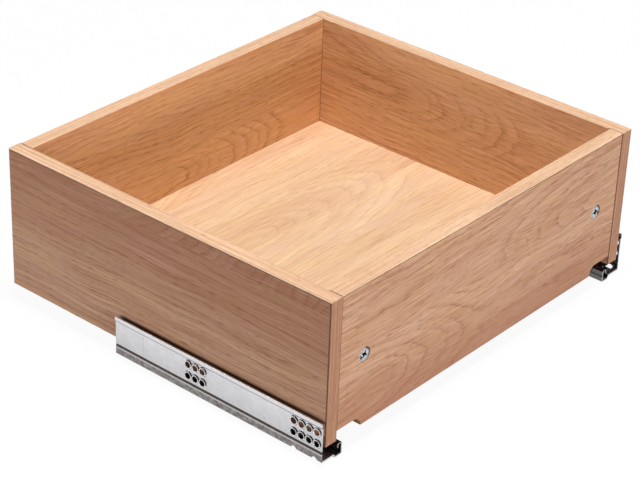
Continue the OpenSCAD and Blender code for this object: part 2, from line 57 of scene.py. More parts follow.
def scaled(colour, by):
    return tuple(c * k for c, k in zip(colour, by))


class Nodes:
    """Builds a material's node tree; every value may be a number or a socket."""

    def __init__(self, name):
        self.material = bpy.data.materials.new(name)
        self.material.use_nodes = True
        self.tree = self.material.node_tree
        self.shader = self.tree.nodes["Principled BSDF"]
        self.output = self.tree.nodes["Material Output"]
        coords = self.tree.nodes.new("ShaderNodeTexCoord").outputs
        self.place = coords["Object"]
        self.normal = coords["Normal"]

    def put(self, socket, value):
        if isinstance(value, bpy.types.NodeSocket):
            self.tree.links.new(value, socket)
        else:
            socket.default_value = value

    def add(self, kind, inputs=(), **settings):
        node = self.tree.nodes.new("ShaderNode" + kind)
        for key, value in settings.items():
            setattr(node, key, value)
        for key, value in dict(inputs).items():
            self.put(node.inputs[key], value)
        return node

    def math(self, operation, a, b=0.0, c=0.0, clamp=False):
        node = self.add("Math", {0: a, 1: b, 2: c}, operation=operation, use_clamp=clamp)
        return node.outputs[0]

    def product(self, value, *others):
        for other in others:
            value = self.math("MULTIPLY", value, other)
        return value

    def absolute(self, value):
        return self.math("ABSOLUTE", value)

    def inverse(self, share):
        """What a share leaves of 1."""
        return self.math("SUBTRACT", 1.0, share)

    def centred(self, noise):
        """Noise with its middle at 0."""
        return self.math("SUBTRACT", noise, 0.5)

    def mm(self, metres):
        return self.math("DIVIDE", metres, MM)

    def combine(self, x, y, z):
        return self.add("CombineXYZ", {0: x, 1: y, 2: z}).outputs[0]

    def separate(self, vector):
        return self.add("SeparateXYZ", {0: vector}).outputs

    def noise(self, vector, scale=1.0, detail=2.0, roughness=0.5):
        """Noise from 0 to 1 with its middle at 0.5."""
        return self.add("TexNoise", {"Vector": vector, "Scale": scale, "Detail": detail,
                                     "Roughness": roughness}).outputs["Fac"]

    def field(self, u, v, size, seed, **settings):
        """Noise over a surface, with features of about size in u and v."""
        place = self.combine(self.math("DIVIDE", u, size[0]), self.math("DIVIDE", v, size[1]), seed)
        return self.noise(place, **settings)

    def fit(self, value, low, high, to_low=0.0, to_high=1.0, smooth=False):
        node = self.add("MapRange", {"Value": value, "From Min": low, "From Max": high,
                                     "To Min": to_low, "To Max": to_high})
        node.interpolation_type = "SMOOTHSTEP" if smooth else "LINEAR"
        return node.outputs["Result"]

    def pulse(self, value, middle, half, flat=0.0):
        """1 at the middle and up to flat from it, falling smoothly to 0 at half either side."""
        off = self.absolute(self.math("SUBTRACT", value, middle))
        return self.fit(off, half, flat, smooth=True)

    def mix(self, factor, a, b, blend="MIX"):
        node = self.add("Mix", data_type="RGBA", blend_type=blend)
        for index, value in ((0, factor), (6, a), (7, b)):
            self.put(node.inputs[index], value)
        return node.outputs[2]

    def choose(self, second, a, b):
        """The number a, or b where second is 1."""
        return self.add("Mix", {0: second, 2: a, 3: b}, data_type="FLOAT").outputs[0]

    def brighten(self, colour, by):
        return self.add("VectorMath", {0: colour, 3: by}, operation="SCALE").outputs[0]

    def length(self, vector):
        return self.add("VectorMath", {0: vector}, operation="LENGTH").outputs["Value"]

    def ramp(self, factor, stops, mode="LINEAR"):
        node = self.add("ValToRGB", {"Fac": factor})
        ramp = node.color_ramp
        ramp.interpolation = mode
        while len(ramp.elements) < len(stops):
            ramp.elements.new(1.0)
        for element, (place, colour) in zip(ramp.elements, stops):
            element.position = place
            element.color = colour
        return node

    def bump(self, height, strength, distance, eased):
        """Bump over edges that are eased by a radius, in mm."""
        rounded = self.add("Bevel", {"Radius": eased * MM}, samples=4).outputs["Normal"]
        node = self.add("Bump", {"Height": height, "Strength": strength, "Distance": distance,
                                 "Normal": rounded})
        self.put(self.shader.inputs["Normal"], node.outputs[0])

    def surface(self, **inputs):
        for key, value in inputs.items():
            self.put(self.shader.inputs[key.replace("_", " ")], value)

    def colour(self):
        """The colour that the surface has so far."""
        return self.shader.inputs["Base Color"].links[0].from_socket


# ---------------------------------------------------------------- oak-effect print

# The print is laid in planks. Each plank is cut from a log whose pith runs along the board at
# depth `depth` under the line `heart`; where it climbs towards the surface, from `bend` on, the
# rings come out as arches. All in millimetres, measured across the board from its top or back
# edge, and along it from the drawer's left or front.
#   upto   where the plank ends, across the board
#   heart  where the plank's middle line lies, across the board
#   bend   where its arches start, along the board
#   climb  how fast the pith climbs, positive where the arches open to the right
#   depth  depth of the pith before it climbs
#   ring   distance between two rings
#   tilt   slope of the grain
#   tone   brightness of the plank, about 0.5
def plank(upto, heart, bend, climb, depth, ring, tilt=0.0, tone=0.5):
    return dict(upto=upto, heart=heart, bend=bend, climb=climb, depth=depth, ring=ring, tilt=tilt,
                tone=tone)


# Ranges that hold each plank value in a colour ramp's 0 to 1
SPAN = 1000.0
RANGES = dict(heart=(-300.0, 1000.0), bend=(-300.0, 1000.0), climb=(-1.0, 1.0),
              depth=(0.0, 200.0), ring=(0.0, 20.0), tilt=(-1.0, 1.0), tone=(0.0, 1.0))
PACKED = (("heart", "bend", "climb", "depth"), ("ring", "tilt", "tone", "seed"))
SEEDS = 700.0        # the seeds run up to this
FACE_STEP = 500.0    # where a board's second face starts, across the print


def packed(p, index, name):
    """A value of the plank p in 0 to 1; each plank has a seed of its own."""
    if name == "seed":
        return (index * 0.37 + 0.11) % 1.0
    low, high = RANGES[name]
    return (p[name] - low) / (high - low)


def plank_ramp(n, across, planks, names):
    """Values of the plank at each place, as a colour ramp with steps."""
    stops, start = [], 0.0
    for index, p in enumerate(planks):
        stops.append((start / SPAN, [packed(p, index, name) for name in names]))
        start = p["upto"]
    node = n.ramp(n.math("DIVIDE", across, SPAN), stops, "CONSTANT")
    rgb = n.add("SeparateColor", {0: node.outputs["Color"]}).outputs
    return [*rgb, node.outputs["Alpha"]]


def plank_values(n, across, planks):
    """The plank's values at each place, back in their own ranges."""
    value = {}
    for names in PACKED:
        for name, socket in zip(names, plank_ramp(n, across, planks, names)):
            if name == "seed":
                value[name] = n.product(socket, SEEDS)
            else:
                low, high = RANGES[name]
                value[name] = n.math("MULTIPLY_ADD", socket, high - low, low)
    return value


def faces(first, second):
    """Planks of a board's two faces, the second one FACE_STEP further on."""
    moved = [dict(p, upto=p["upto"] + FACE_STEP, heart=p["heart"] + FACE_STEP) for p in second]
    return [*first[:-1], dict(first[-1], upto=FACE_STEP), *moved]


# Sizes of the print's features, in mm, along the board and across it
WANDER_SIZE = (170.0, 60.0)    # slow bends of the whole figure
RIPPLE_SIZE = (40.0, 8.0)      # small ripples, which give the arches their ragged tips
PORE_SIZE = (11.0, 0.8)
PATCH_SIZE = (60.0, 9.0)       # patches with more pores and stronger streaks
CLOUD_SIZE = (190.0, 20.0)     # lighter and darker places
HUE_SIZE = (140.0, 14.0)       # pinker and more golden places
STREAK_WIDTH = 1.1
STREAK_LENGTH = 50.0
# and of those that follow the rings
BROAD_SIZE = (11.0, 260.0)     # broad streaks, across the rings and along the board
UNEVEN_SIZE = 13.0             # places with wider and narrower rings, across the rings
STRENGTH_LENGTH = 120.0        # a ring line's strong and faint stretches, along the board
# How far bends and ripples shift the figure, in mm, and how many rings uneven growth shifts it
WANDER = 22.0
RIPPLE = 4.5
UNEVEN = 2.2
# The pith comes no closer to the surface than this, and its bends are eased, in mm
LEAST_DEPTH = 16.0
DEPTH_EASE = 14.0
BEND_EASE = 30.0
# A ring line rises from this share of the ring on, and then fades by this power
RISE_FROM = 0.91
FADE_POWER = 5.0
# Noise levels between which a pore starts and is fully dark
PORE_EDGE = (0.60, 0.72)


def oak_print(n, along, across, planks, streak_length):
    """Oak grain: ring lines and pores in [0, 1], then streaks, broad bands, tone and seed."""
    value = plank_values(n, across, planks)
    seed = value["seed"]
    # how far along past the bend, in the direction in which the arches open
    past = n.product(n.math("SUBTRACT", along, value["bend"]), n.math("SIGN", value["climb"]))
    past = n.math("SMOOTH_MAX", past, 0.0, BEND_EASE)
    wander = n.product(n.centred(n.field(along, across, WANDER_SIZE, seed)), WANDER)
    climbed = n.product(past, n.absolute(value["climb"]))
    depth = n.math("SUBTRACT", value["depth"], climbed)
    depth = n.math("SMOOTH_MAX", depth, LEAST_DEPTH, DEPTH_EASE)
    heart = n.math("MULTIPLY_ADD", along, value["tilt"], value["heart"])
    off = n.math("ADD", n.math("SUBTRACT", across, heart), wander)
    radius = n.math("SQRT", n.math("ADD", n.product(off, off), n.product(depth, depth)))
    ripple = n.centred(n.field(along, across, RIPPLE_SIZE, seed, detail=3.0))
    radius = n.math("MULTIPLY_ADD", ripple, RIPPLE, radius)
    uneven = n.noise(n.combine(n.math("DIVIDE", radius, UNEVEN_SIZE), seed, 0.0), detail=1.0)
    rings = n.math("ADD", n.math("DIVIDE", radius, value["ring"]), n.product(uneven, UNEVEN))
    phase = n.math("FRACT", rings)
    # a ring line is sharp on one side and fades on the other
    fade = n.math("POWER", n.inverse(phase), FADE_POWER)
    line = n.math("MAXIMUM", fade, n.fit(phase, RISE_FROM, 1.0, smooth=True))
    # and each one has its own strength, which changes along the board
    ring_place = n.combine(n.product(n.math("FLOOR", rings), 1.7),
                           n.math("DIVIDE", along, STRENGTH_LENGTH), seed)
    line = n.product(line, n.fit(n.noise(ring_place, detail=1.0), 0.3, 0.7, 0.2, 1.0))
    # open pores: short dashes along the grain, densest on the ring lines, which they break up
    dash = n.field(along, across, PORE_SIZE, seed, detail=0.5)
    patch = n.field(along, radius, PATCH_SIZE, seed, detail=1.0)
    porous = n.math("MULTIPLY_ADD", line, 0.10, n.fit(patch, 0.3, 0.7, -0.05, 0.06))
    pores = n.fit(n.math("ADD", dash, porous), *PORE_EDGE, smooth=True)
    line = n.product(line, n.fit(dash, 0.34, 0.56, 0.35, 1.0))
    # fine straight streaks, stronger in some places than in others, and broad ones along the rings
    streak = n.field(n.math("ADD", across, wander), along, (STREAK_WIDTH, streak_length), seed,
                     roughness=0.6)
    strength = n.fit(patch, 0.3, 0.65, 0.45, 1.25)
    streak = n.math("MULTIPLY_ADD", n.centred(streak), strength, 0.5)
    broad = n.field(radius, along, BROAD_SIZE, seed)
    return line, pores, streak, broad, value["tone"], seed


# Colours of the print, from its darkest line to its lightest streak, which is pinker or more golden
OAK_LINE = (0.42, 0.155, 0.076)
OAK_DARK = (0.635, 0.335, 0.188)
OAK_PINK = (0.87, 0.60, 0.42)
OAK_GOLD = (0.88, 0.61, 0.37)
SEAM = (0.13, 0.065, 0.04)
# Colour of the painted contact shadow in the crevices beside the rails
CONTACT_SHADE = (0.042, 0.017, 0.007)
CONTACT_SHADE_REACH = 0.008    # how deep into a crevice the painted contact shadow reaches, in metres
# How much the features change the print's lightness, and how much of the line's colour pores and
# ring lines take, at a contrast of 1
STREAK_WEIGHT, BROAD_WEIGHT, CLOUD_WEIGHT = 3.1, 0.8, 0.6
PORE_WEIGHT, LINE_WEIGHT = 0.32, 0.60


def with_seams(n, colour, seams, full_at, gone_at, most):
    """A dark joint along each line where a seam's distance is 0, which fades between two
    distances in mm."""
    for distance in seams:
        mark = n.fit(distance(n), full_at, gone_at, most, 0.0, smooth=True)
        colour = n.mix(mark, colour, rgba(*SEAM))
    return colour


def oak(name, along, across, planks, tints, contrast, second_face, seams=(), contact_shaded=None,
        shade=None, unevenness=1.0, streak_length=STREAK_LENGTH):
    """Melamine with an oak print on both faces of a board.

    along, across, second_face, contact_shaded and the seams are functions of the builder. The
    first two give the place on the board in mm, second_face gives 1 on the board's second face,
    and a painted contact shadow darkens the crevices where contact_shaded gives 1. tints has a
    tint for each face. shade says where across the first face a painted shade starts, where it
    is darkest and how dark. unevenness scales the broad bands, and streak_length is the length
    of the fine streaks, in mm.
    """
    n = Nodes(name)
    tint, second_tint = tints
    second = second_face(n)
    u = along(n)
    v = n.math("MULTIPLY_ADD", second, FACE_STEP, across(n))
    line, pores, streak, broad, light, seed = oak_print(n, u, v, planks, streak_length)
    cloud = n.field(u, v, CLOUD_SIZE, seed)
    uneven = contrast * unevenness
    for field, weight in ((streak, STREAK_WEIGHT * contrast), (broad, BROAD_WEIGHT * uneven),
                          (cloud, CLOUD_WEIGHT * uneven)):
        light = n.math("MULTIPLY_ADD", n.centred(field), weight, light)
    oak_dark, oak_pink, oak_gold, oak_line = (
        rgba(*scaled(colour, tint)) for colour in (OAK_DARK, OAK_PINK, OAK_GOLD, OAK_LINE))
    hue = n.field(u, v, HUE_SIZE, n.math("ADD", seed, 50.0))
    lightest = n.mix(n.fit(hue, 0.38, 0.62), oak_pink, oak_gold)
    colour = n.mix(n.fit(light, 0.0, 1.0), oak_dark, lightest)
    dark = n.math("MULTIPLY_ADD", pores, PORE_WEIGHT * contrast,
                  n.product(line, LINE_WEIGHT * contrast), clamp=True)
    colour = n.mix(dark, colour, oak_line)
    # painted shade: over part of the first face the print darkens towards the colour of its lines
    if shade:
        starts_at, darkest_at, most = shade
        shadow = n.product(n.fit(v, starts_at, darkest_at, 0.0, most), n.inverse(second))
        colour = n.mix(shadow, colour, oak_line)
    change = rgba(*(there / here for here, there in zip(tint, second_tint)))
    colour = n.mix(second, colour, change, "MULTIPLY")
    colour = with_seams(n, colour, seams, 0.35, 1.0, 0.8)
    if contact_shaded:
        # painted contact shadow: the wood darkens where ambient occlusion finds other parts close
        # by
        open_sky = n.add("AmbientOcclusion", {"Distance": CONTACT_SHADE_REACH}, samples=16).outputs["AO"]
        painted_shadow = n.product(n.fit(open_sky, 0.80, 0.48), contact_shaded(n), 0.96)
        colour = n.mix(painted_shadow, colour, rgba(*CONTACT_SHADE))
    n.surface(Base_Color=colour, Roughness=n.math("MULTIPLY_ADD", pores, 0.15, 0.42))
    n.shader.inputs["Specular IOR Level"].default_value = 0.22
    n.bump(n.inverse(n.math("ADD", line, pores)), 0.12, 0.0002, 0.5)
    return n.material


def axis(index, start, direction=1.0):
    """A function that gives the distance from start along an axis, in mm."""
    def measure(n):
        place = n.separate(n.place)[index]
        return n.product(n.math("SUBTRACT", place, start), direction / MM)
    return measure


def facing(index, sign):
    """A function that gives 1 on faces that look along an axis, else 0."""
    def measure(n):
        part = n.separate(n.normal)[index]
        return n.math("GREATER_THAN", n.product(part, sign), 0.5)
    return measure


FRONT_OUT = [
    plank(63, 58, 235, 0.25, 55.5, 7.5, tone=0.45),
    plank(148, 113, 210, -0.28, 55, 7.2, tone=0.53),
]
FRONT_IN = [
    plank(40, -30, 0, 0.1, 30, 6.0, tone=0.5),
    plank(100, 62, 120, 0.22, 45, 6.5, tone=0.55),
    plank(148, 160, 60, -0.1, 40, 7.0, tone=0.45),
]
LEFT_OUT = [
    plank(12, -30, 0, 0.5, 160, 6.0, tone=0.45),
    plank(75, -40, 240, -0.1, 45, 7.5, tone=0.47),
    plank(148, 60, -120, 0.2, 50, 6.5, tone=0.58),
]
BACK_IN = [
    plank(27, -30, 100, 0.1, 30, 6.0, tone=0.67),
    plank(80, 12, 60, 0.12, 40, 6.5, tone=0.61),
    plank(148, 108, 378, -0.28, 62, 5.0, tone=0.63),
]
RIGHT_IN = [
    plank(28, -20, 385, -0.25, 60, 5.5, tone=0.53),
    plank(77, 52, 112, 0.28, 60, 6.5, tone=0.58),
    plank(148, 10, -100, 0.1, 20, 6.0, tilt=-0.04, tone=0.60),
]
FLOOR_TOP = [
    plank(22, 60, -20, 0.35, 130, 6.5, tone=0.42),
    plank(82, -70, 0, 0.05, 10, 5.0, tilt=0.02, tone=0.6),
    plank(133, 124, 416, -0.2, 60, 5.5, tone=0.46),
    plank(181, 130, 404, -0.22, 60, 8.0, tone=0.62),
    plank(237, 330, 0, 0.05, 20, 5.5, tone=0.5),
    plank(295, 268, 300, -0.25, 55, 7.0, tone=0.56),
    plank(400, 260, 100, 0.1, 30, 6.5, tone=0.5),
]

from_top = axis(2, top_z, -1.0)
from_left = axis(0, side_low.x)
from_front = axis(1, drawer_front)
from_back_wall = axis(1, back_face, -1.0)


def joint(index, place):
    """A seam across an axis, at the same distance on both sides of the middle."""
    def distance(n):
        part = n.absolute(n.separate(n.place)[index])
        return n.absolute(n.mm(n.math("SUBTRACT", part, abs(place))))
    return distance


OFF = 20.0         # what a seam's distance grows by where it isn't drawn, in mm
BEHIND = 0.002     # a place is on an inner face up to this far behind it, in metres


def under_band(n):
    """The joint under the top edging, on the outer faces only."""
    below = n.absolute(n.math("SUBTRACT", from_top(n), (top_z - side_high.z) / MM))
    place = n.separate(n.place)
    within = [n.math("LESS_THAN", n.absolute(part), BEHIND - inner_face)
              for part, inner_face in ((place[0], side_high.x), (place[1], front_high.y))]
    return n.math("MULTIPLY_ADD", n.product(*within), OFF, below)


def rails_contact_shade(n):
    """How much painted contact shadow the sides' outer faces take, from 0 to 1, where the rails lie
    close: fully along the rails' top edge and lower down, and the least behind their upper row of
    holes, which lets some light through."""
    place = n.separate(n.place)
    outer = n.math("GREATER_THAN", n.absolute(place[0]), -side_low.x - 0.001)
    drop = n.mm(n.math("SUBTRACT", rail_high.z, place[2]))
    edge = n.fit(drop, 5.0, 2.5)
    lower = n.fit(drop, 15.5, 20.0, 0.08, 1.0)
    return n.product(outer, n.math("MAXIMUM", edge, lower))


# The sides' end strips are joined in line with the side's own ends
end_joint = joint(1, side_low.y)
inner_joint = joint(0, front_low.x)

# Tints of the boards' faces, which differ from board to board. The deeper tints of the walls
# inside the drawer (AMBER on the back, HONEY on the other walls) also stand in for the warm light
# that the boards throw on each other there, a painted bounce light; RED also makes up for the
# painted shade on the left side's outer face.
RED = (1.14, 1.015, 1.03)
ROSE = (1.045, 0.96, 0.945)
AMBER = (1.05, 0.965, 0.77)
HONEY = (1.03, 0.985, 0.86)
YELLOW = (1.03, 1.12, 1.12)

materials = {
    "front_panel": oak(
        "oak_front", from_left, from_top, faces(FRONT_OUT, FRONT_IN), tints=(ROSE, HONEY),
        contrast=1.17, second_face=facing(1, 1.0), seams=(under_band, inner_joint),
        shade=(85.0, 150.0, 0.64), unevenness=0.9),
    "back_panel": oak(
        "oak_back", from_left, from_top, faces(BACK_IN, FRONT_IN), tints=(AMBER, ROSE),
        contrast=1.0, second_face=facing(1, 1.0), seams=(under_band, inner_joint),
        shade=(30.0, 0.0, 0.48), unevenness=0.5),
    "side_panel_left": oak(
        "oak_left", from_front, from_top, faces(LEFT_OUT, FRONT_IN), tints=(RED, HONEY),
        contrast=1.1, second_face=facing(0, 1.0), seams=(under_band, end_joint),
        contact_shaded=rails_contact_shade, shade=(85.0, 0.0, 0.42), unevenness=1.6, streak_length=120.0),
    "side_panel_right": oak(
        "oak_right", from_front, from_top, faces(RIGHT_IN, LEFT_OUT), tints=(HONEY, ROSE),
        contrast=1.05, second_face=facing(0, 1.0), seams=(under_band, end_joint),
        contact_shaded=rails_contact_shade, shade=(30.0, 0.0, 0.28), unevenness=0.45),
    "bottom_panel": oak(
        "oak_floor", from_left, from_back_wall, faces(FLOOR_TOP, FRONT_IN),
        tints=(YELLOW, ROSE), contrast=0.55, second_face=facing(2, -1.0), unevenness=1.6),
}


# ---------------------------------------------------------------- edging

EDGING_DARK = (0.64, 0.375, 0.225)
EDGING_LIGHT = (0.90, 0.60, 0.395)
# Colour of the painted highlight on the eased edges of the edging
EDGE_HIGHLIGHT = (1.0, 0.80, 0.60)


def edging(name, along, across, tint, seams=(), edge_highlight=0.0):
    """Oak-effect edging: straight fine grain along the strip. edge_highlight says how much of the
    painted highlight colour its eased edges take."""
    n = Nodes(name)
    u, v = along(n), across(n)
    broad = n.field(u, v, (130.0, 2.4), 3.0, detail=3.0, roughness=0.65)
    dash = n.field(u, v, (10.0, 0.8), 8.0, detail=1.0)
    light = n.math("MULTIPLY_ADD", n.centred(broad), 3.0, 0.5, clamp=True)
    colour = n.mix(light, rgba(*scaled(EDGING_DARK, tint)), rgba(*scaled(EDGING_LIGHT, tint)))
    dark = n.product(n.fit(dash, 0.54, 0.70, smooth=True), 0.45)
    colour = n.mix(dark, colour, rgba(*scaled(OAK_LINE, tint)))
    # painted highlight: the eased edges turn lighter, as where they catch the light
    if edge_highlight:
        flat = n.math("MAXIMUM", *(n.absolute(part) for part in n.separate(n.normal)[1:]))
        colour = n.mix(n.fit(flat, 0.97, 0.80, 0.0, edge_highlight), colour, rgba(*EDGE_HIGHLIGHT))
    colour = with_seams(n, colour, seams, 0.25, 0.8, 0.75)
    n.surface(Base_Color=colour, Roughness=0.38)
    n.shader.inputs["Specular IOR Level"].default_value = 0.2
    n.bump(broad, 0.05, 0.0002, 0.6)
    return n.material


def end_joint_of_band(n):
    """The joint where a front or back strip meets a side strip."""
    across_y = n.absolute(n.separate(n.place)[1])
    beyond = n.math("LESS_THAN", across_y, back_face)
    return n.math("MULTIPLY_ADD", beyond, OFF, inner_joint(n))


def on_band(on_front, on_side):
    """A function that gives the place on a top strip in mm, by one axis on the front and back
    strips and by another on the side strips."""
    def measure(n):
        place = n.separate(n.place)
        of_side = n.math("GREATER_THAN", n.absolute(place[0]), -side_high.x)
        return n.mm(n.choose(of_side, place[on_front], place[on_side]))
    return measure


materials["edge_bands_top"] = edging(
    "edging_top", on_band(0, 1), on_band(1, 0), tint=(0.98, 0.97, 0.94),
    seams=(end_joint_of_band,), edge_highlight=0.35)
materials["edge_bands_ends"] = edging(
    "edging_ends", axis(2, 0.0), from_left, tint=(0.78, 0.61, 0.55),
    seams=(joint(0, side_low.x), inner_joint))


# ---------------------------------------------------------------- metal and plastic

DRAWN = (90.0, 8.0, 90.0)    # the sheet is drawn front to back, which stretches its streaks


def galvanised(name, colour, roughness=0.36, grime=0.0):
    """Galvanised sheet: faint spangle, drawn streaks and small marks."""
    n = Nodes(name)
    drawn = n.add("VectorMath", {0: n.place, 1: DRAWN}, operation="MULTIPLY").outputs[0]
    streaks = n.noise(drawn, scale=9.0, detail=3.0)
    spangle = n.add("TexVoronoi", {"Vector": n.place, "Scale": 260.0}).outputs["Distance"]
    blotch = n.noise(n.place, scale=70.0, detail=3.0)
    specks = n.fit(n.noise(n.place, scale=380.0), 0.66, 0.70, smooth=True)
    value = n.math("ADD", n.product(streaks, 0.18), n.product(spangle, 0.10))
    value = n.math("ADD", value, n.product(blotch, 0.30))
    value = n.math("SUBTRACT", value, n.product(specks, 0.6))
    n.surface(Base_Color=n.brighten(colour, n.fit(value, 0.1, 0.45, 0.80 - grime, 1.08)),
              Metallic=1.0, Roughness=n.math("MULTIPLY_ADD", blotch, 0.2, roughness - 0.1))
    n.bump(streaks, 0.05, 0.0001, 0.2)
    return n


# Lines of painted shade along the rail's rolled bends: mm below the top edge, half width, strength
BEND_SHADE_LINES = [(1.5, 0.5, 0.22), (2.9, 0.5, 0.25), (4.4, 1.1, 0.92)]
# Upright marks of the press: mm behind the middle, half width, from and to below the top, strength
PRESS_MARKS = [(17.3, 0.5, 7.0, 24.0, 0.30), (-61.2, 0.45, 11.0, 24.0, 0.16)]
# The bead between flange and lower strip: mm below the top edge, half width, flat part of that
BEAD_DROP = 30.8
BEAD_HALF = 1.7
BEAD_FLAT = 0.8
# Colour of the press marks, and of the painted shade on the bends and on the strip under the bead
RAIL_MARKS_AND_SHADE = (0.095, 0.074, 0.066)
# Colour of the grime and painted shade in the bead, and of the painted shade on the bosses' slopes
# and on the sheet's inner side
RAIL_GRIME_AND_SHADE = (0.026, 0.017, 0.013)
BOSS_TOP = -rail_low.x    # how far out the rail's bosses reach, in metres
# How far in from there, in metres, the bosses' tops take a painted highlight, the flange's outer
# side goes, and the painted shade on the sheet's inner side starts and is as dark as it gets
BOSS_HIGHLIGHT_DEPTH = 0.0002
OUTER_SIDE = 0.0025
INNER_SIDE = (0.003, 0.006)


def rail_marks_and_shade(n, drop, behind):
    """How much the flange's outer face darkens: mottled painted shade on the strip under the bead,
    painted shade along the rolled bends, and the marks that the press leaves."""
    # painted shade on the strip under the bead, mottled, with a lighter line left just below the
    # bead
    mottle = n.noise(n.place, scale=300.0)
    place = n.separate(n.place)
    smear = n.noise(n.combine(n.product(place[1], 110.0), n.product(place[2], 900.0), 0.0))
    strip = n.product(n.fit(drop, BEAD_DROP, BEAD_DROP + 0.8),
                      n.inverse(n.pulse(drop, BEAD_DROP + 2.5, 1.1)))
    marks_and_shade = n.product(strip, n.fit(n.math("ADD", mottle, smear), 0.75, 1.2, 0.52, 0.88))
    # painted shade along the rolled bends
    for middle, half, strength in BEND_SHADE_LINES:
        marks_and_shade = n.math("MAXIMUM", marks_and_shade, n.product(n.pulse(drop, middle, half), strength))
    for at, half, top, foot, strength in PRESS_MARKS:
        reach = n.product(n.fit(drop, top, top + 1.0), n.fit(drop, foot, foot - 1.0))
        mark = n.product(n.pulse(behind, at, half), reach)
        marks_and_shade = n.math("MAXIMUM", marks_and_shade, n.product(mark, strength))
    return marks_and_shade


def rail_grime_and_shade(n, drop, sheet_x):
    """Grime and painted shade in the bead, painted shade on the upper front slope of each boss, and
    painted shade on the sheet's inner side, darker where it looks less upwards."""
    # grime and painted shade in the bead's groove
    bead = n.product(n.pulse(drop, BEAD_DROP, BEAD_HALF, BEAD_FLAT), 0.985)
    # painted shade on each boss's slope that looks up and to the front
    normal = n.separate(n.normal)
    lean = n.absolute(normal[0])
    slope = n.product(n.math("GREATER_THAN", lean, 0.5), n.math("LESS_THAN", lean, 0.9))
    upper = n.math("SUBTRACT", n.product(normal[2], 0.8), n.product(normal[1], 0.6))
    boss = n.product(slope, n.fit(upper, 0.15, 0.45), 0.95)
    # painted shade on the sheet's inner side, apart from its cut ends, darker where it looks less
    # upwards
    cut_end = n.math("GREATER_THAN", n.absolute(normal[1]), 0.8)
    inside = n.fit(sheet_x, *(BOSS_TOP - depth for depth in INNER_SIDE))
    inside = n.product(inside, n.inverse(cut_end), n.fit(normal[2], 0.5, 0.9, 0.78, 0.10))
    return n.math("MAXIMUM", n.math("MAXIMUM", bead, boss), inside)


def rail_material(name):
    """The cabinet rail: pale flange with painted shade along its bends, grime and painted shade in
    the bead, and painted shade on the strip below it.
    """
    n = galvanised(name, (0.70, 0.69, 0.71), roughness=0.30)
    place = n.separate(n.place)
    sheet_x = n.absolute(place[0])
    drop = n.mm(n.math("SUBTRACT", rail_high.z, place[2]))
    # the flange takes a little painted shade towards its foot, and the tops of the bosses a painted
    # highlight
    boss_highlight = n.math("GREATER_THAN", sheet_x, BOSS_TOP - BOSS_HIGHLIGHT_DEPTH)
    shade = n.math("MULTIPLY_ADD", boss_highlight, 0.14, n.fit(drop, 6.0, 30.0, 1.0, 0.82))
    colour = n.brighten(n.colour(), shade)
    on_flange = n.math("GREATER_THAN", sheet_x, BOSS_TOP - OUTER_SIDE)
    marks_and_shade = n.product(rail_marks_and_shade(n, drop, n.mm(place[1])), on_flange)
    colour = n.mix(marks_and_shade, colour, rgba(*RAIL_MARKS_AND_SHADE))
    n.surface(Base_Color=n.mix(rail_grime_and_shade(n, drop, sheet_x), colour, rgba(*RAIL_GRIME_AND_SHADE)))
    return n.material


def plastic(name, colour):
    """Moulded plastic with the faint grain of the tool."""
    n = Nodes(name)
    mottle = n.noise(n.place, scale=160.0)
    darker, lighter = (rgba(*scaled(colour, (by, by, by))) for by in (0.9, 1.08))
    n.surface(Base_Color=n.mix(mottle, darker, lighter),
              Roughness=n.math("MULTIPLY_ADD", mottle, 0.12, 0.39))
    n.bump(n.noise(n.place, scale=2400.0, detail=1.0), 0.08, 0.00005, 0.3)
    return n.material


CAM_RING = (0.12, 0.11, 0.12)
# Dark of the cam's dot, and of the painted shade in its cross recess and in the gap round it
CAM_DARK = (0.02, 0.017, 0.014)
# The dot on a cam's face, in mm: how far it lies outwards and up from the cam's middle, and its
# radius, where its soft edge starts and ends
CAM_DOT = (4.3, -2.0)
DOT_EDGE = (1.9, 1.3)


def cam_material(name, node):
    """Zinc cam: a cast face with a darker ring and a dark dot beside its middle, painted shade in
    the gap round it on its upper right, and painted shade in its cross recess."""
    n = galvanised(name, (0.72, 0.70, 0.72), roughness=0.34, grime=0.1)
    low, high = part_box(node)
    middle, radius = (low + high) / 2, (high.z - low.z) / 2 / MM
    place = n.separate(n.place)
    side = n.math("SIGN", place[0])
    right = n.mm(n.math("SUBTRACT", place[0], n.product(side, abs(middle.x))))
    up = n.mm(n.math("SUBTRACT", place[2], middle.z))
    flat = n.combine(right, up, 0.0)
    off = n.length(flat)
    lump = n.fit(n.noise(flat, scale=0.45), 0.35, 0.65, 0.1, 1.0)
    ring = n.product(n.pulse(off, 0.74 * radius, 0.22 * radius), lump)
    # painted shade in the cross recess
    deep = n.math("SUBTRACT", max(-low.y, high.y), n.absolute(place[1]))
    recess = n.fit(deep, 0.00005, 0.0004, 0.0, 0.98)
    # painted shade in the gap round the cam, on its upper right
    gap = n.product(n.fit(off, 0.78 * radius, 0.86 * radius),
                    n.fit(n.math("MULTIPLY_ADD", up, 0.35, right), 0.2 * radius, 0.6 * radius))
    dot_place = n.combine(n.product(side, CAM_DOT[0]), CAM_DOT[1], 0.0)
    aside = n.add("VectorMath", {0: flat, 1: dot_place}, operation="DISTANCE").outputs["Value"]
    dark = n.math("MAXIMUM", recess, n.product(gap, 0.95))
    dark = n.math("MAXIMUM", dark, n.fit(aside, *DOT_EDGE))
    colour = n.mix(ring, n.colour(), rgba(*CAM_RING))
    n.surface(Base_Color=n.mix(dark, colour, rgba(*CAM_DARK)))
    return n.material


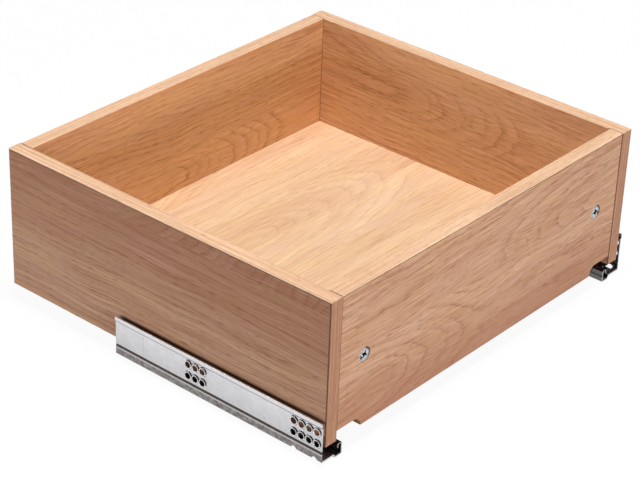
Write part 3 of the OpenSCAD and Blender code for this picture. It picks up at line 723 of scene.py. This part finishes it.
rail = rail_material("rail_steel")
member = galvanised("drawer_rail_steel", (0.62, 0.61, 0.63)).material
hook = galvanised("hook_steel", (0.52, 0.51, 0.53), roughness=0.50).material
cam_front = cam_material("zinc_front", "cam_lock_front_left")
cam_back = cam_material("zinc_back", "cam_lock_back_left")
steel = galvanised("plated_steel", (0.58, 0.58, 0.60), roughness=0.32).material
balls = galvanised("ball_steel", (0.75, 0.75, 0.77), roughness=0.16).material
for side in ("left", "right"):
    materials.update({
        "cabinet_rail_" + side: rail,
        "drawer_rail_" + side: member,
        "rear_hook_" + side: hook,
        "ball_cage_" + side: plastic("cage_plastic_" + side, (0.80, 0.79, 0.72)),
        "balls_" + side: balls,
        "catch_housing_" + side: plastic("housing_plastic_" + side, (0.14, 0.145, 0.15)),
        "catch_lever_" + side: plastic("lever_plastic_" + side, (0.62, 0.10, 0.012)),
        "catch_spring_" + side: steel,
        "cam_lock_front_" + side: cam_front,
        "cam_lock_back_" + side: cam_back,
    })
materials.update({
    "cam_bolts": steel,
    "catch_screws": steel,
    "hook_rivets": steel,
    "corner_dowels": edging("beech", axis(0, 0.0), axis(2, 0.0), tint=(0.95, 1.0, 1.0)),
})

for node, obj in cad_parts.items():
    obj.data.materials.clear()
    obj.data.materials.append(materials[node])


# ---------------------------------------------------------------- studio

FLOOR_SIZE = 14.0
FLOOR_GAP = 0.0002           # what the floor lies lower than the part's underside, in metres
FLOOR_SHADOW = (0.5, 1.6)    # the shadow fades between these distances from the middle, in metres


def floor_material():
    """Pale floor: white to the camera and in reflections, grey for the light it throws back."""
    n = Nodes("studio_floor")
    path = n.add("LightPath").outputs
    mirrored = n.math("MAXIMUM", path["Is Glossy Ray"], path["Is Transmission Ray"])
    seen = n.math("MAXIMUM", path["Is Camera Ray"], mirrored)
    white = n.add("Emission", {"Color": rgba(1, 1, 1), "Strength": 1.0}).outputs[0]
    pale = n.add("BsdfDiffuse", {"Color": rgba(0.9, 0.9, 0.9)}).outputs[0]
    grey = n.add("BsdfDiffuse", {"Color": rgba(0.14, 0.138, 0.135)}).outputs[0]
    # the object's shadow shows near it, and further off the floor is as white as the studio
    whiteness = n.fit(n.length(n.place), *FLOOR_SHADOW, 0.94, 1.0, smooth=True)
    shown = n.add("MixShader", {0: whiteness, 1: pale, 2: white}).outputs[0]
    mixed = n.add("MixShader", {0: seen, 1: grey, 2: shown}).outputs[0]
    n.put(n.output.inputs["Surface"], mixed)
    return n.material


bpy.ops.mesh.primitive_plane_add(size=FLOOR_SIZE, location=(0.0, 0.0, cad_low.z - FLOOR_GAP))
floor = bpy.context.object
floor.name = "studio_floor"
floor.data.materials.append(floor_material())


DARK_CORNER = (0.58, 0.72)    # cosines of the angles at which its soft edge starts and ends


def studio_world(diffuse, gloss, dark_gloss, dark_side):
    """White to the camera, dim as a light, and bright in gloss apart from the photographer's dark
    corner on one side."""
    world = bpy.data.worlds.new("studio")
    world.use_nodes = True
    tree = world.node_tree

    def level(factor, low, high, start=0.0, end=1.0):
        node = tree.nodes.new("ShaderNodeMapRange")
        node.interpolation_type = "SMOOTHSTEP"
        for name, value in (("Value", factor), ("From Min", start), ("From Max", end),
                            ("To Min", low), ("To Max", high)):
            if isinstance(value, bpy.types.NodeSocket):
                tree.links.new(value, node.inputs[name])
            else:
                node.inputs[name].default_value = value
        return node.outputs["Result"]

    coords = tree.nodes.new("ShaderNodeTexCoord")
    towards = tree.nodes.new("ShaderNodeVectorMath")
    towards.operation = "DOT_PRODUCT"
    tree.links.new(coords.outputs["Generated"], towards.inputs[0])
    towards.inputs[1].default_value = Vector(dark_side).normalized()
    path = tree.nodes.new("ShaderNodeLightPath").outputs
    shine = level(towards.outputs["Value"], gloss, dark_gloss, *DARK_CORNER)
    strength = level(path["Is Glossy Ray"], diffuse, shine)
    strength = level(path["Is Transmission Ray"], strength, 1.0)
    strength = level(path["Is Camera Ray"], strength, 1.0)
    background = tree.nodes["Background"]
    background.inputs["Color"].default_value = rgba(1, 1, 1)
    tree.links.new(strength, background.inputs["Strength"])
    bpy.context.scene.world = world


def softbox(name, place, target, size, power):
    """A rectangular light that faces its target. Lengths are in metres, and power in watts."""
    data = bpy.data.lights.new(name, "AREA")
    data.shape = "RECTANGLE"
    data.size, data.size_y = size
    data.energy = power
    lamp = bpy.data.objects.new(name, data)
    lamp.location = place
    lamp.rotation_euler = (Vector(target) - Vector(place)).to_track_quat("-Z", "Y").to_euler()
    bpy.context.scene.collection.objects.link(lamp)


# One softbox overhead, and a low strip of light before each outer face, flat enough that the
# walls inside the drawer are lit mostly by its bottom
studio_world(diffuse=0.02, gloss=0.9, dark_gloss=0.03, dark_side=(-0.72, -0.45, 0.5))
softbox("key", (-0.22, -0.32, 3.2), (cad_low + cad_high) / 2, (0.8, 0.8), 105.0)
softbox("front_strip", (-0.55, -2.4, 0.28), (-0.05, -0.2, 0.08), (1.3, 0.3), 29.0)
softbox("left_strip", (-2.1, 1.1, 0.36), (-0.2, 0.0, 0.08), (1.0, 0.3), 12.0)
softbox("right_strip", (2.3, -0.3, 0.30), (0.2, 0.0, 0.08), (2.2, 0.3), 15.0)
softbox("back_strip", (0.4, 2.4, 0.30), (0.0, 0.2, 0.08), (1.3, 0.3), 17.0)


# ---------------------------------------------------------------- camera

# Set up as the photographer's: high on the left front corner, with a slight roll, in degrees
HEADING, PITCH, ROLL = 50.400, -29.919, 2.338

camera_data = bpy.data.cameras.new("camera")
camera_data.sensor_width = 36.0
camera_data.lens = 121.15
camera_data.clip_end = 50.0
camera = bpy.data.objects.new("camera", camera_data)
bpy.context.scene.collection.objects.link(camera)
camera.location = (-1.41814, -1.17133, 1.11082)
camera.rotation_mode = "QUATERNION"
camera.rotation_quaternion = (
    Euler((math.radians(90.0 + PITCH), 0.0, -math.radians(HEADING))).to_quaternion()
    @ Euler((0.0, 0.0, math.radians(ROLL))).to_quaternion()
)
bpy.context.scene.camera = camera

bpy.context.scene.view_settings.view_transform = "Standard"
